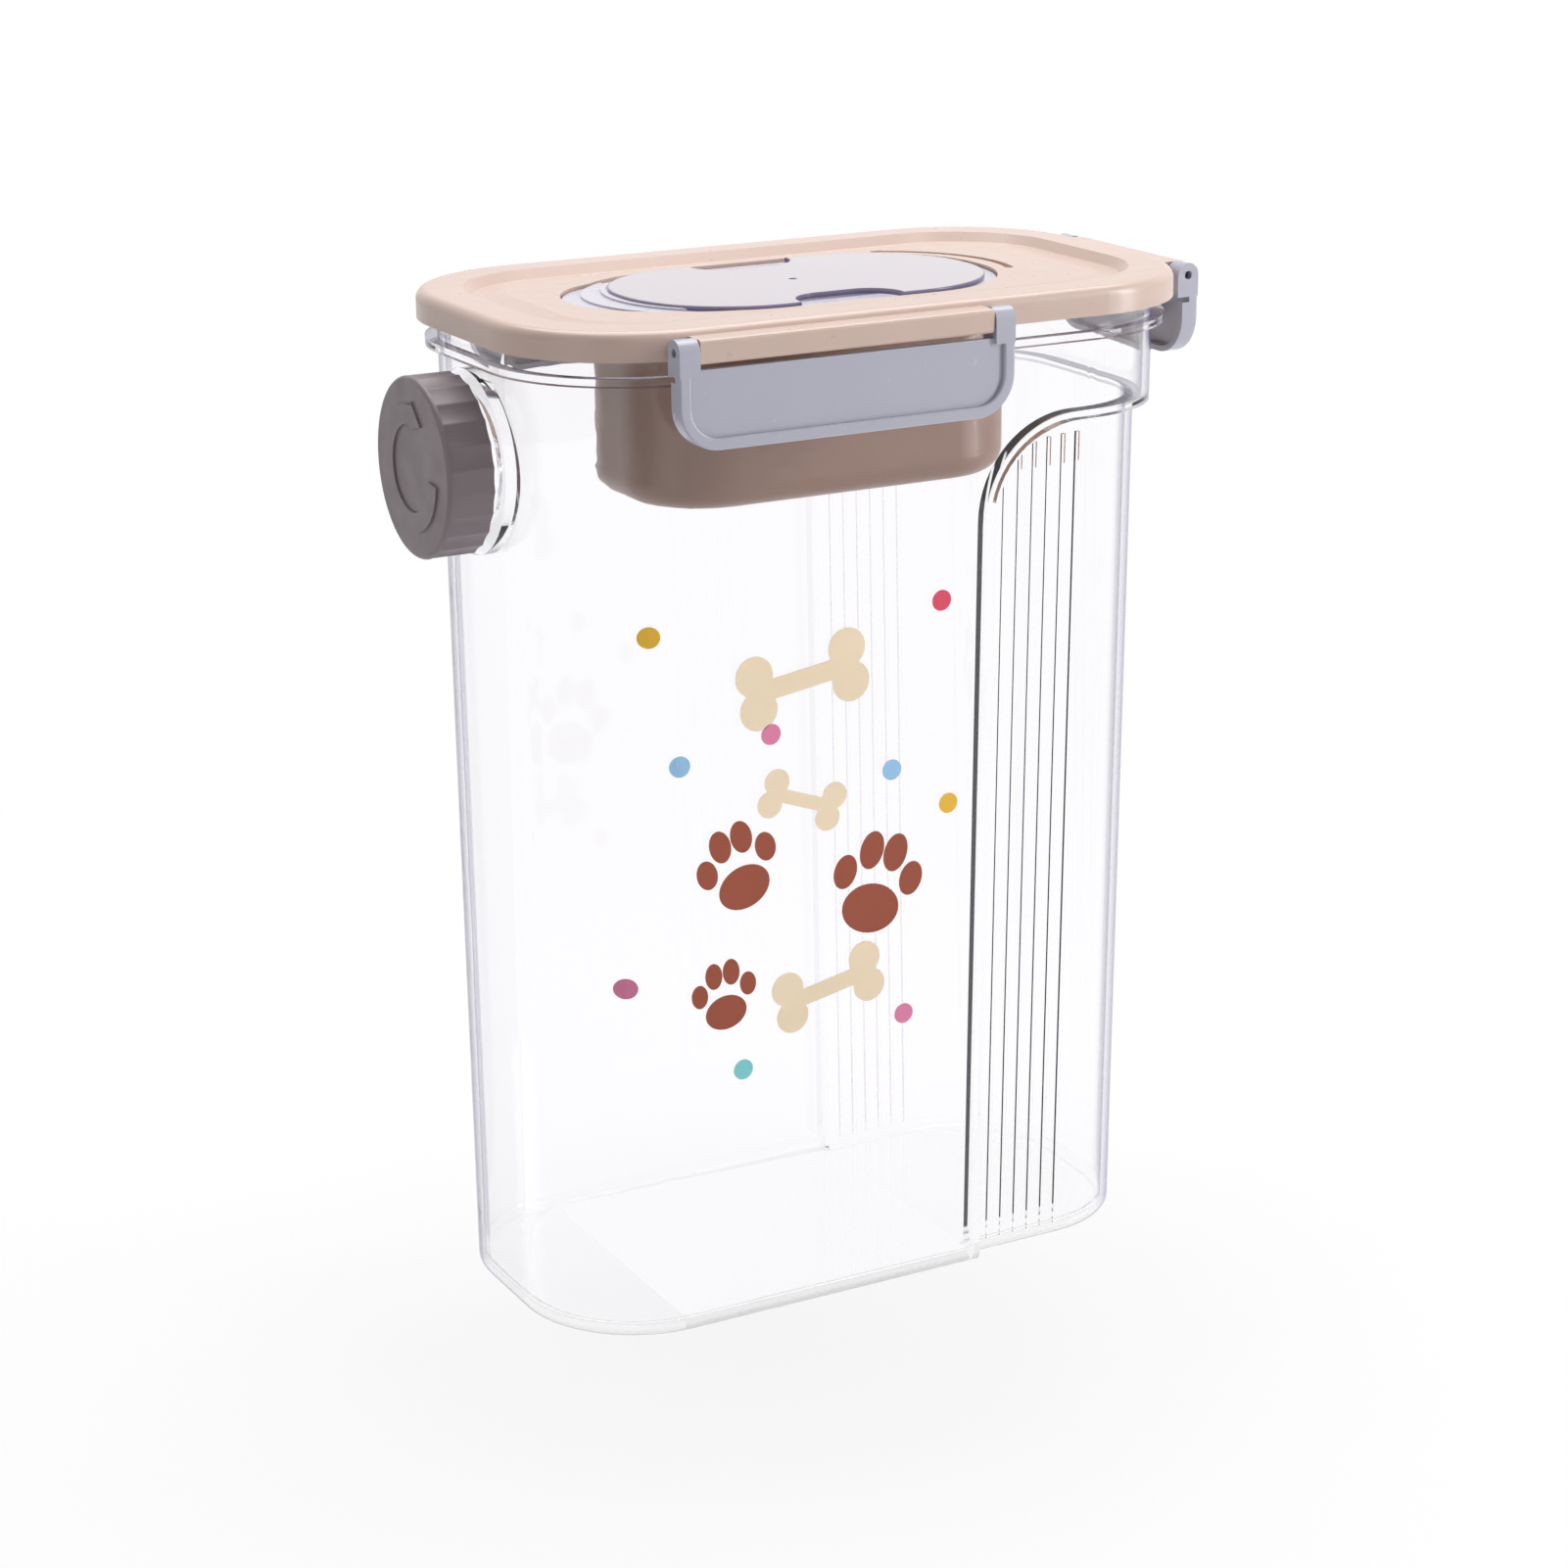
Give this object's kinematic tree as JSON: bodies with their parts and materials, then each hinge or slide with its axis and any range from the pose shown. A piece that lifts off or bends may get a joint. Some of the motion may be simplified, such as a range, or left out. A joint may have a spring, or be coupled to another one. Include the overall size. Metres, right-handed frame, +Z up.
{
  "type": "treat jar",
  "caption": "Clear storage jar for dry pet treats with a latched lid, a storage tub under the lid with a measuring cup, and a screw-capped pouring spout.",
  "frame": {"origin": "centre of the jar's base, on the surface it stands on", "axes": "+Z up, front with the long latch towards -Y, spout towards -X, side latch and hand grip towards +X"},
  "size_m": [0.2403, 0.1412, 0.3],
  "materials": {
    "clear_plastic": "clear gloss plastic",
    "lid_plastic": "satin gloss",
    "latch_plastic": "satin gloss",
    "cap_plastic": "fine matte",
    "grey_plastic": "satin",
    "seal_rubber": "soft matte",
    "pin_plastic": "satin"
  },
  "bodies": {
    "jar": {"jar_body": "clear_plastic"},
    "lid": {"lid_cover": "lid_plastic", "lid_gasket": "seal_rubber", "lid_tub": "lid_plastic", "pin_front_left": "pin_plastic", "pin_front_right": "pin_plastic", "pin_back_left": "pin_plastic", "pin_back_right": "pin_plastic", "pin_side_left": "pin_plastic", "pin_side_right": "pin_plastic"},
    "latch_front": {"latch_front": "latch_plastic"},
    "latch_back": {"latch_back": "latch_plastic"},
    "latch_side": {"latch_side": "latch_plastic"},
    "measuring_cup": {"measuring_cup": "grey_plastic"},
    "cup_cover": {"cup_cover": "clear_plastic"},
    "spout_seal": {"spout_seal": "seal_rubber"},
    "spout_cap": {"spout_cap": "cap_plastic"}
  },
  "joints": [
    {"name": "lid_lift", "type": "slide", "parent": "jar", "child": "lid", "axis": [0, 0, 1], "range_m": [0, 0.07]},
    {"name": "latch_front_hinge", "type": "hinge", "parent": "lid", "child": "latch_front", "pos_m": [-0.0223, -0.067, 0.2949], "axis": [-1, 0, 0], "range_deg": [-6, 110]},
    {"name": "latch_back_hinge", "type": "hinge", "parent": "lid", "child": "latch_back", "pos_m": [-0.0223, 0.067, 0.2949], "axis": [1, 0, 0], "range_deg": [-6, 110]},
    {"name": "latch_side_hinge", "type": "hinge", "parent": "lid", "child": "latch_side", "pos_m": [0.11315, 0, 0.2949], "axis": [0, -1, 0], "range_deg": [-6, 110]},
    {"name": "measuring_cup_lift", "type": "slide", "parent": "lid", "child": "measuring_cup", "axis": [0, 0, 1], "range_m": [0, 0.06]},
    {"name": "cup_cover_lift", "type": "slide", "parent": "measuring_cup", "child": "cup_cover", "axis": [0, 0, 1], "range_m": [0, 0.03]},
    {"name": "spout_cap_travel", "type": "slide", "parent": "jar", "child": "spout_seal", "axis": [-1, 0, 0], "range_m": [0, 0.012]},
    {"name": "spout_cap_turn", "type": "hinge", "parent": "spout_seal", "child": "spout_cap", "pos_m": [-0.1092, 0, 0.2566], "axis": [-1, 0, 0], "range_deg": [0, 1080]}
  ],
  "couplings": [
    {"joint": "spout_cap_travel", "follows": "spout_cap_turn", "m_per_rad": 0.00063662}
  ]
}
